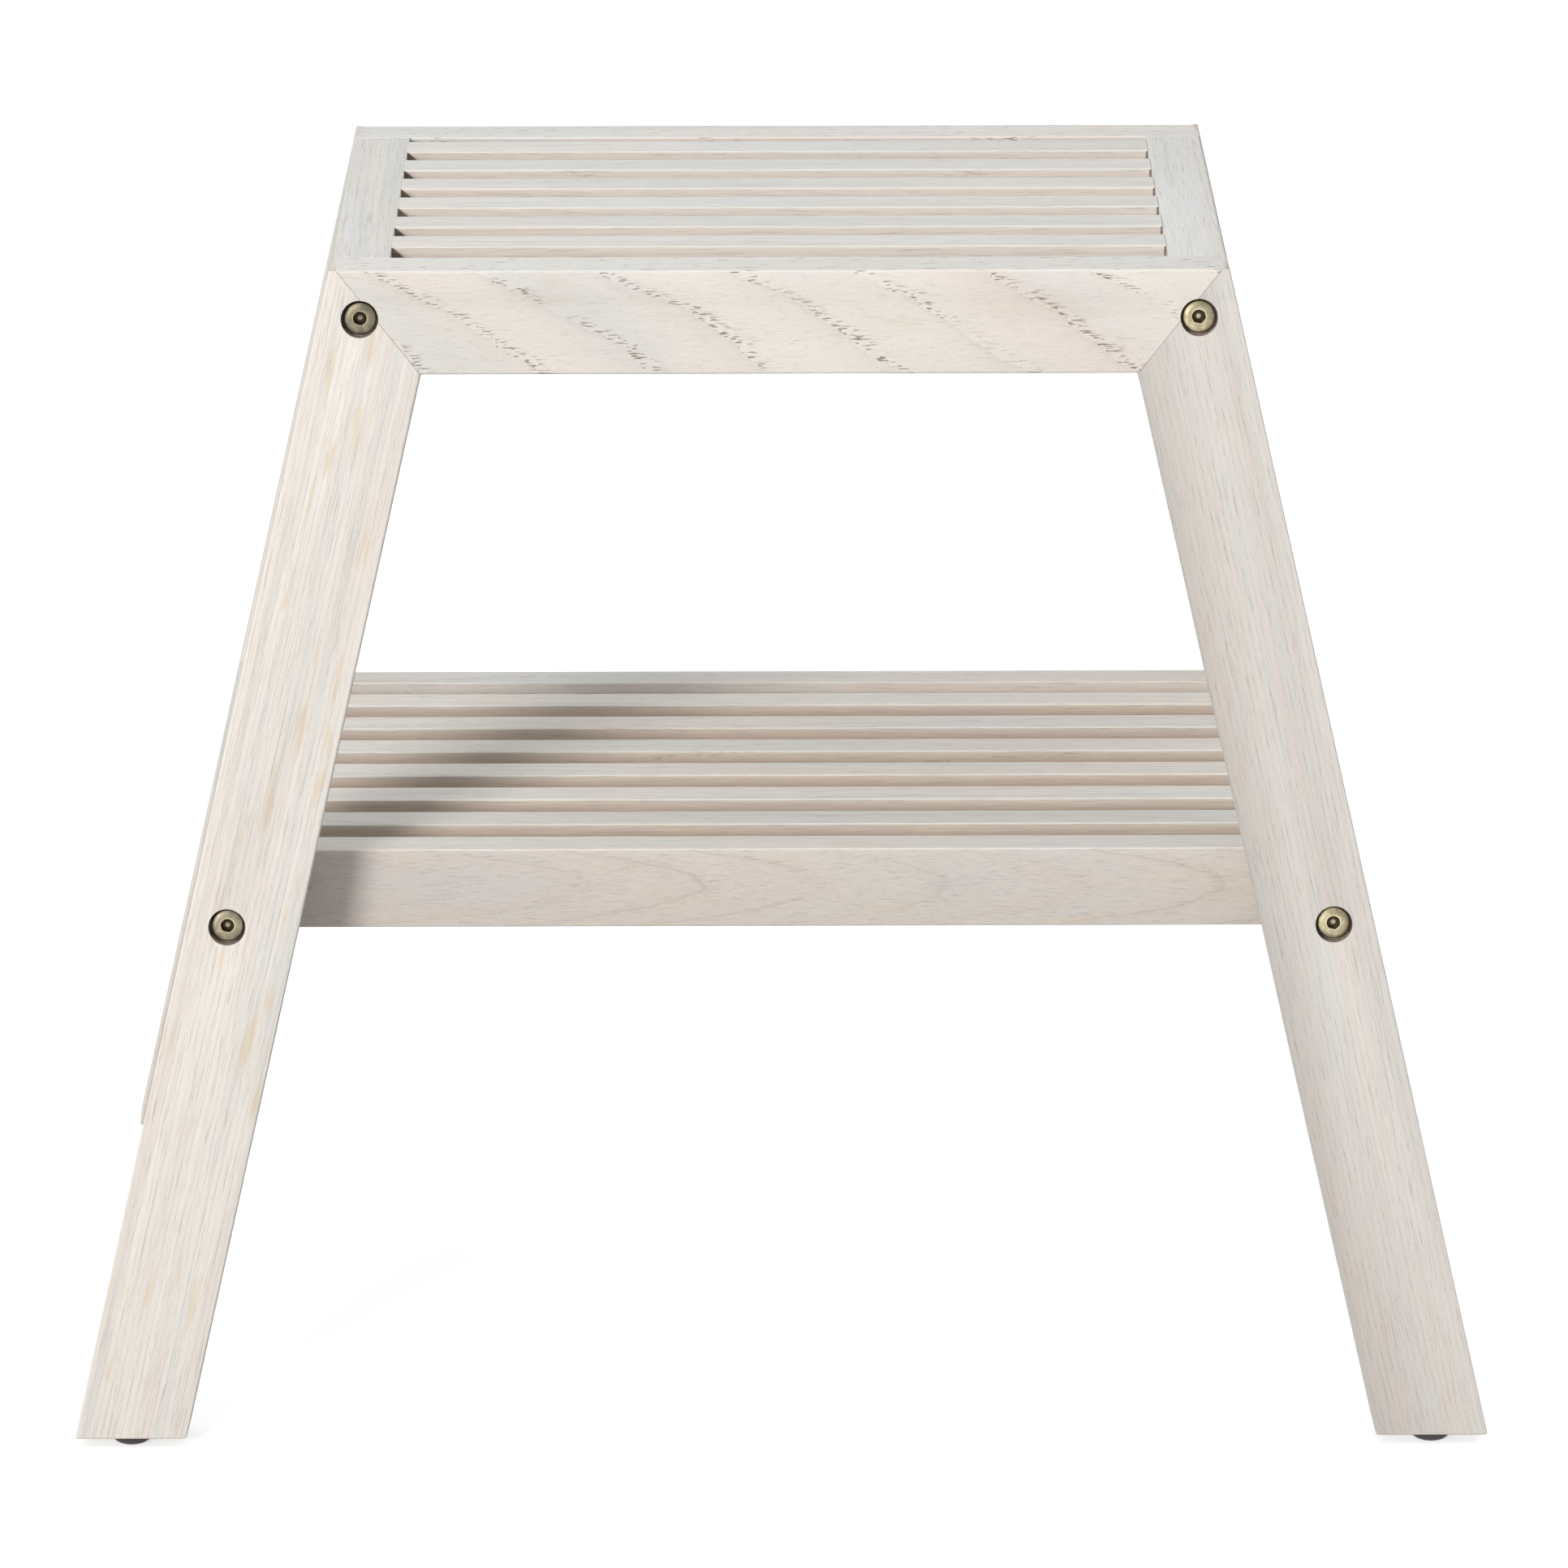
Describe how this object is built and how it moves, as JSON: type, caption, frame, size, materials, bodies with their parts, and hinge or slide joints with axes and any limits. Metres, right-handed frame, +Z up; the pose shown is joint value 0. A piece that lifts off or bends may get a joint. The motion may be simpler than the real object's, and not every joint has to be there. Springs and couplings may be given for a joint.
{
  "type": "entryway bench",
  "caption": "Splayed-leg wooden bench with a slatted seat, a slatted lower shelf, mitred leaning end frames and counterbored bolts.",
  "frame": {"origin": "on the floor under the middle of the bench, at the bottom centre of the bounding box", "axes": "+X to the right along the slats, -Y to the front face with the bolts, +Z up from the floor to the seat"},
  "size_m": [0.5466, 0.3426, 0.454],
  "materials": {
    "frame_wood": "white-washed open-pored hardwood, straight and cathedral grain, matt",
    "slat_wood": "white-washed open-pored hardwood, straight grain, matt",
    "bolt_brass": "antique brass plating, satin",
    "nut_steel": "zinc-plated steel",
    "dowel_wood": "bare beech",
    "glide_nylon": "dark moulded nylon"
  },
  "bodies": {
    "root": {"front_left_leg": "frame_wood", "front_right_leg": "frame_wood", "front_apron": "frame_wood", "rear_left_leg": "frame_wood", "rear_right_leg": "frame_wood", "rear_apron": "frame_wood", "seat_left_end_board": "frame_wood", "seat_right_end_board": "frame_wood", "seat_slat_1": "slat_wood", "seat_slat_2": "slat_wood", "seat_slat_3": "slat_wood", "seat_slat_4": "slat_wood", "seat_slat_5": "slat_wood", "seat_slat_6": "slat_wood", "shelf_left_end_board": "frame_wood", "shelf_right_end_board": "frame_wood", "shelf_slat_1": "slat_wood", "shelf_slat_2": "slat_wood", "shelf_slat_3": "slat_wood", "shelf_slat_4": "slat_wood", "shelf_slat_5": "slat_wood", "shelf_slat_6": "slat_wood", "shelf_front_rail": "slat_wood", "shelf_rear_rail": "slat_wood", "seat_bolt_front_left": "bolt_brass", "seat_barrel_nut_front_left": "nut_steel", "shelf_bolt_front_left": "bolt_brass", "shelf_barrel_nut_front_left": "nut_steel", "mitre_dowel_front_left_outer": "dowel_wood", "mitre_dowel_front_left_inner": "dowel_wood", "glide_front_left": "glide_nylon", "seat_bolt_front_right": "bolt_brass", "seat_barrel_nut_front_right": "nut_steel", "shelf_bolt_front_right": "bolt_brass", "shelf_barrel_nut_front_right": "nut_steel", "mitre_dowel_front_right_outer": "dowel_wood", "mitre_dowel_front_right_inner": "dowel_wood", "glide_front_right": "glide_nylon", "seat_bolt_rear_left": "bolt_brass", "seat_barrel_nut_rear_left": "nut_steel", "shelf_bolt_rear_left": "bolt_brass", "shelf_barrel_nut_rear_left": "nut_steel", "mitre_dowel_rear_left_outer": "dowel_wood", "mitre_dowel_rear_left_inner": "dowel_wood", "glide_rear_left": "glide_nylon", "seat_bolt_rear_right": "bolt_brass", "seat_barrel_nut_rear_right": "nut_steel", "shelf_bolt_rear_right": "bolt_brass", "shelf_barrel_nut_rear_right": "nut_steel", "mitre_dowel_rear_right_outer": "dowel_wood", "mitre_dowel_rear_right_inner": "dowel_wood", "glide_rear_right": "glide_nylon"}
  },
  "joints": []
}
